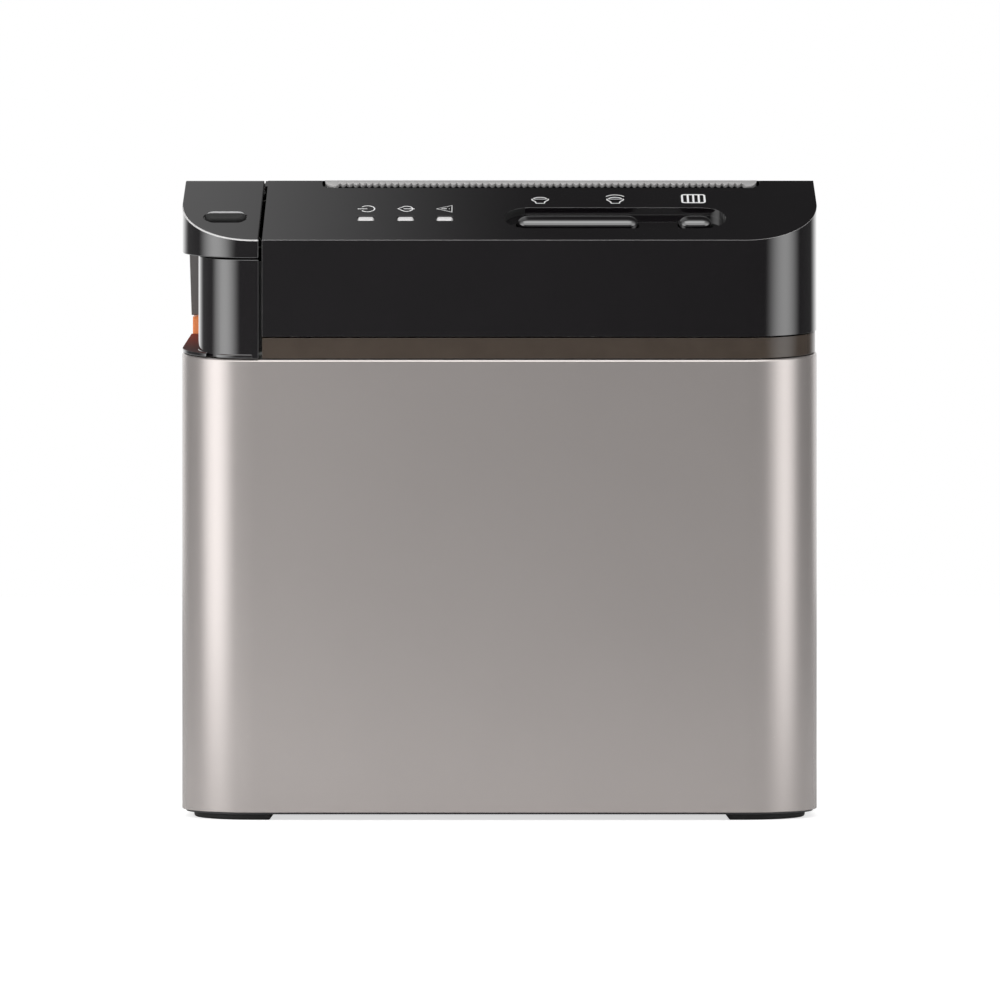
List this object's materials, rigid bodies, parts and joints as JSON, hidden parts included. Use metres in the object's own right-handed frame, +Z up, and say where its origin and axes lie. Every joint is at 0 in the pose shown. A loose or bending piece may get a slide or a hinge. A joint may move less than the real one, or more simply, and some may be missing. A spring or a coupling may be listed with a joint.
{
  "type": "thermal receipt printer",
  "caption": "Cube-shaped thermal receipt printer with a hinged paper cover, front release pad, tear bar, keys, light band and rear sockets.",
  "frame": {"origin": "middle of the footprint, on the surface it stands on", "axes": "+X right seen from the front, +Y to the back, +Z up"},
  "size_m": [0.127, 0.127, 0.1279],
  "materials": {
    "shell_metal": "satin champagne anodised",
    "gloss_black": "polished black",
    "smoked_clear": "smoked translucent, polished",
    "amber_clear": "amber translucent, polished",
    "lens_grey": "frosted light grey",
    "blade_steel": "bright ground steel",
    "plated_steel": "zinc plated",
    "black_rubber": "matte",
    "platen_rubber": "ground",
    "dark_plastic": "fine texture",
    "gear_plastic": "natural white",
    "board": "green solder mask",
    "socket_metal": "tinned",
    "head_ceramic": "glazed ceramic",
    "bare_aluminium": "extruded",
    "cable_film": "pale film",
    "pinion_brass": "machined"
  },
  "bodies": {
    "chassis": {"lower_shell": "shell_metal", "base_plate": "dark_plastic", "foot_front_left": "black_rubber", "foot_front_right": "black_rubber", "foot_rear_left": "black_rubber", "foot_rear_right": "black_rubber", "case_screws": "plated_steel", "light_band": "smoked_clear", "side_light": "amber_clear", "front_panel": "gloss_black", "panel_board": "board", "power_light": "lens_grey", "paper_light": "lens_grey", "error_light": "lens_grey", "release_column": "gloss_black", "pad_pin": "plated_steel", "rear_housing": "gloss_black", "hinge_pin_left": "plated_steel", "hinge_pin_right": "plated_steel", "idler_pin": "plated_steel", "feed_motor": "plated_steel", "mechanism_frame": "plated_steel", "print_head": "head_ceramic", "head_heatsink": "bare_aluminium", "head_springs": "plated_steel", "cutter_frame": "plated_steel", "cutter_motor": "plated_steel", "latch_spring": "plated_steel", "paper_bucket": "dark_plastic", "lever_pin": "plated_steel", "main_board": "board", "board_screws": "plated_steel", "rear_plate": "dark_plastic", "network_socket": "socket_metal", "drawer_socket": "dark_plastic", "usb_socket": "socket_metal", "power_socket": "dark_plastic", "switch_body": "dark_plastic", "speaker": "dark_plastic", "head_cable": "cable_film"},
    "lid": {"top_cover": "gloss_black", "tear_bar": "blade_steel", "platen_holder": "dark_plastic", "fixed_blade": "blade_steel", "platen_bush_left": "gear_plastic", "platen_bush_right": "gear_plastic"},
    "platen": {"platen_shaft": "plated_steel", "platen_roller": "platen_rubber", "platen_gear": "gear_plastic"},
    "idler": {"idler_gear": "gear_plastic"},
    "feed_drive": {"feed_pinion": "pinion_brass"},
    "release": {"release_pad": "gloss_black", "pad_grip": "gloss_black"},
    "latch": {"latch_bar": "plated_steel"},
    "cutter": {"moving_blade": "blade_steel"},
    "cutter_drive": {"cutter_pinion": "pinion_brass"},
    "volume_key": {"volume_rocker": "gloss_black"},
    "list_key": {"list_button": "gloss_black"},
    "power_key": {"power_switch": "dark_plastic"},
    "near_end": {"near_end_lever": "gear_plastic"}
  },
  "joints": [
    {"name": "lid_hinge", "type": "hinge", "parent": "chassis", "child": "lid", "pos_m": [0, 0.05, 0.1181], "axis": [-1, 0, 0], "range_deg": [0, 80]},
    {"name": "platen_spin", "type": "hinge", "parent": "lid", "child": "platen", "pos_m": [0.0083, -0.0324, 0.1035], "axis": [1, 0, 0], "continuous": true},
    {"name": "idler_spin", "type": "hinge", "parent": "chassis", "child": "idler", "pos_m": [-0.0339, -0.03091, 0.09038], "axis": [1, 0, 0], "continuous": true},
    {"name": "feed_drive_spin", "type": "hinge", "parent": "chassis", "child": "feed_drive", "pos_m": [-0.0339, -0.03854, 0.08562], "axis": [1, 0, 0], "continuous": true},
    {"name": "release_lever", "type": "hinge", "parent": "chassis", "child": "release", "pos_m": [-0.0555, -0.03794, 0.1249], "axis": [-1, 0, 0], "range_deg": [0, 12], "stiffness_Nm_per_rad": 0.06, "springref_deg": -5.73},
    {"name": "latch_release", "type": "hinge", "parent": "chassis", "child": "latch", "pos_m": [0, -0.0545, 0.091], "axis": [1, 0, 0], "range_deg": [0, 10]},
    {"name": "cutter_slide", "type": "slide", "parent": "chassis", "child": "cutter", "axis": [0, 1, 0], "range_m": [0, 0.0045]},
    {"name": "cutter_drive_spin", "type": "hinge", "parent": "chassis", "child": "cutter_drive", "pos_m": [0.016, -0.0493, 0.109], "axis": [0, 0, 1], "range_deg": [0, 74]},
    {"name": "volume_rock", "type": "hinge", "parent": "chassis", "child": "volume_key", "pos_m": [0.01555, -0.05225, 0.11528], "axis": [0, 0.8783, 0.4781], "range_deg": [-1.6, 1.6], "stiffness_Nm_per_rad": 0.03},
    {"name": "list_press", "type": "slide", "parent": "chassis", "child": "list_key", "axis": [0, 0.4781, -0.8783], "range_m": [0, 0.0008], "stiffness_N_per_m": 500, "springref_m": -0.0004},
    {"name": "power_rock", "type": "hinge", "parent": "chassis", "child": "power_key", "pos_m": [-0.042, 0.0602, 0.0175], "axis": [1, 0, 0], "range_deg": [0, 14]},
    {"name": "near_end_swing", "type": "hinge", "parent": "chassis", "child": "near_end", "pos_m": [-0.0359, 0.032, 0.06], "axis": [1, 0, 0], "range_deg": [0, 8], "stiffness_Nm_per_rad": 0.005, "springref_deg": -5.73}
  ],
  "couplings": [
    {"joint": "idler_spin", "follows": "platen_spin", "ratio": -1.2},
    {"joint": "feed_drive_spin", "follows": "platen_spin", "ratio": 2.4},
    {"joint": "latch_release", "follows": "release_lever", "ratio": 0.8},
    {"joint": "cutter_drive_spin", "follows": "cutter_slide", "rad_per_m": 285.71}
  ]
}
